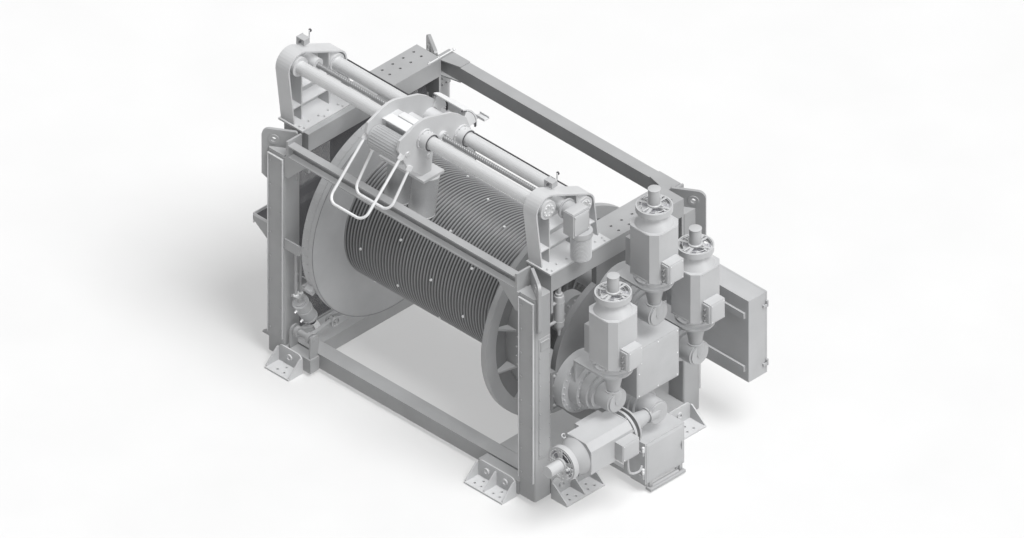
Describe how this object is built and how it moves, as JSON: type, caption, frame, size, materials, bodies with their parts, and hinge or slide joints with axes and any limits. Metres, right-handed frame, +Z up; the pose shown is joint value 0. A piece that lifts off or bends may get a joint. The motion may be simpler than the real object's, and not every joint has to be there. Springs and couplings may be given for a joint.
{
  "type": "rov winch",
  "caption": "Electric umbilical winch: grooved drum in a lifting frame, geared motor drives, band brake and a level wind with rollers and guide loops.",
  "frame": {"origin": "centre of the bounding box in plan, in the plane of the deck feet's undersides", "axes": "+X along the drum axis towards the drive units, +Y from the guide loops towards the rear, +Z up"},
  "size_m": [4.3, 2.8046, 3.1927],
  "materials": {
    "frame_paint": "semi-gloss light grey paint",
    "drum_paint": "semi-gloss mid grey paint",
    "bright_steel": "machined",
    "dark_steel": "oiled dark steel",
    "gear_paint": "semi-gloss grey paint",
    "motor_paint": "semi-gloss pale grey paint",
    "fan_plastic": "moulded",
    "white_paint": "gloss white paint",
    "roller_polymer": "turned grey polymer",
    "cabinet_paint": "powder coat"
  },
  "bodies": {
    "frame": {"corner_posts": "frame_paint", "post_covers": "frame_paint", "lower_end_beams": "frame_paint", "bottom_rails": "frame_paint", "corner_blocks": "frame_paint", "upper_end_girders": "frame_paint", "front_top_beam": "frame_paint", "rear_top_beam": "frame_paint", "lifting_lugs": "frame_paint", "deck_feet": "frame_paint", "frame_bolts": "bright_steel", "drive_end_plate": "frame_paint", "idle_end_plate": "frame_paint", "side_shelf": "frame_paint", "drum_bearings": "frame_paint", "brake_band": "gear_paint", "brake_brackets": "frame_paint", "brake_cylinder": "gear_paint", "drive_gearboxes": "gear_paint", "drive_motor_1": "motor_paint", "drive_motor_2": "motor_paint", "drive_motor_3": "motor_paint", "drive_motor_4": "motor_paint", "terminal_boxes": "motor_paint", "fan_guards": "motor_paint", "left_tower": "frame_paint", "right_tower": "frame_paint", "guide_shafts": "bright_steel", "trip_rod": "dark_steel", "screw_gearmotor": "gear_paint", "limit_switches": "cabinet_paint", "slip_ring_box": "cabinet_paint", "control_cabinet": "cabinet_paint", "power_cabinet": "cabinet_paint"},
    "drum": {"drum_barrel": "drum_paint", "brake_flange": "gear_paint", "drive_flange": "gear_paint", "ring_gear": "bright_steel", "drum_shaft": "bright_steel", "shell_bolts": "bright_steel"},
    "pinion_1": {"pinion_1": "bright_steel"},
    "pinion_2": {"pinion_2": "bright_steel"},
    "pinion_3": {"pinion_3": "bright_steel"},
    "pinion_4": {"pinion_4": "bright_steel"},
    "fan_1": {"cooling_fan_1": "fan_plastic"},
    "fan_2": {"cooling_fan_2": "fan_plastic"},
    "fan_3": {"cooling_fan_3": "fan_plastic"},
    "fan_4": {"cooling_fan_4": "fan_plastic"},
    "carriage": {"carriage_frame": "frame_paint", "carriage_chute": "white_paint", "guide_loops": "white_paint"},
    "lead_screw": {"lead_screw": "dark_steel"},
    "side_roller_left": {"side_roller_left": "roller_polymer"},
    "side_roller_right": {"side_roller_right": "roller_polymer"},
    "entry_roller_upper": {"entry_roller_upper": "roller_polymer"},
    "entry_roller_lower": {"entry_roller_lower": "roller_polymer"},
    "brake_rod": {"brake_rod": "bright_steel"},
    "brake_lever": {"brake_lever": "frame_paint"},
    "control_door": {"control_door": "cabinet_paint"},
    "power_door": {"power_door": "cabinet_paint"}
  },
  "joints": [
    {"name": "drum_spin", "type": "hinge", "parent": "frame", "child": "drum", "pos_m": [-0.281, 0.11081, 1.285], "axis": [1, 0, 0], "continuous": true},
    {"name": "pinion_1_spin", "type": "hinge", "parent": "frame", "child": "pinion_1", "pos_m": [0.859, -0.39789, 1.13625], "axis": [1, 0, 0], "continuous": true},
    {"name": "pinion_2_spin", "type": "hinge", "parent": "frame", "child": "pinion_2", "pos_m": [0.859, 0.11081, 1.815], "axis": [1, 0, 0], "continuous": true},
    {"name": "pinion_3_spin", "type": "hinge", "parent": "frame", "child": "pinion_3", "pos_m": [0.859, 0.61951, 1.13625], "axis": [1, 0, 0], "continuous": true},
    {"name": "pinion_4_spin", "type": "hinge", "parent": "frame", "child": "pinion_4", "pos_m": [0.859, 0.11081, 0.755], "axis": [1, 0, 0], "continuous": true},
    {"name": "fan_1_spin", "type": "hinge", "parent": "frame", "child": "fan_1", "pos_m": [1.874, -0.39789, 2.24725], "axis": [0, 0, 1], "continuous": true},
    {"name": "fan_2_spin", "type": "hinge", "parent": "frame", "child": "fan_2", "pos_m": [1.874, 0.11081, 2.926], "axis": [0, 0, 1], "continuous": true},
    {"name": "fan_3_spin", "type": "hinge", "parent": "frame", "child": "fan_3", "pos_m": [1.874, 0.61951, 2.24725], "axis": [0, 0, 1], "continuous": true},
    {"name": "fan_4_spin", "type": "hinge", "parent": "frame", "child": "fan_4", "pos_m": [1.874, -1.00019, 0.755], "axis": [0, -1, 0], "continuous": true},
    {"name": "carriage_slide", "type": "slide", "parent": "frame", "child": "carriage", "axis": [1, 0, 0], "range_m": [-0.85, 1.17]},
    {"name": "lead_screw_spin", "type": "hinge", "parent": "frame", "child": "lead_screw", "pos_m": [-0.281, -0.41069, 2.903], "axis": [1, 0, 0], "range_deg": [-3061, 4213]},
    {"name": "side_roller_left_spin", "type": "hinge", "parent": "carriage", "child": "side_roller_left", "pos_m": [-0.59, -0.54369, 2.549], "axis": [0, 0.1564, 0.9877], "continuous": true},
    {"name": "side_roller_right_spin", "type": "hinge", "parent": "carriage", "child": "side_roller_right", "pos_m": [-0.292, -0.54369, 2.549], "axis": [0, 0.1564, 0.9877], "continuous": true},
    {"name": "entry_roller_upper_spin", "type": "hinge", "parent": "carriage", "child": "entry_roller_upper", "pos_m": [-0.441, -0.83969, 2.925], "axis": [1, 0, 0], "continuous": true},
    {"name": "entry_roller_lower_spin", "type": "hinge", "parent": "carriage", "child": "entry_roller_lower", "pos_m": [-0.441, -0.57969, 2.78], "axis": [1, 0, 0], "continuous": true},
    {"name": "brake_lever_swing", "type": "hinge", "parent": "frame", "child": "brake_lever", "pos_m": [-1.586, -0.83469, 0.346], "axis": [1, 0, 0], "range_deg": [0, 2]},
    {"name": "brake_rod_slide", "type": "slide", "parent": "frame", "child": "brake_rod", "axis": [0, -0.4695, 0.8829], "range_m": [0, 0.006]},
    {"name": "control_door_hinge", "type": "hinge", "parent": "frame", "child": "control_door", "pos_m": [1.951, -0.10319, 0.303], "axis": [0, 0, -1], "range_deg": [0, 110]},
    {"name": "power_door_hinge", "type": "hinge", "parent": "frame", "child": "power_door", "pos_m": [2.005, 1.38031, 0.99], "axis": [0, 0, -1], "range_deg": [0, 110]}
  ],
  "couplings": [
    {"joint": "pinion_1_spin", "follows": "drum_spin", "ratio": 7.625},
    {"joint": "pinion_2_spin", "follows": "drum_spin", "ratio": 7.625},
    {"joint": "pinion_3_spin", "follows": "drum_spin", "ratio": 7.625},
    {"joint": "pinion_4_spin", "follows": "drum_spin", "ratio": 7.625},
    {"joint": "lead_screw_spin", "follows": "carriage_slide", "rad_per_m": 62.832},
    {"joint": "brake_rod_slide", "follows": "brake_lever_swing", "m_per_rad": 0.16619}
  ]
}
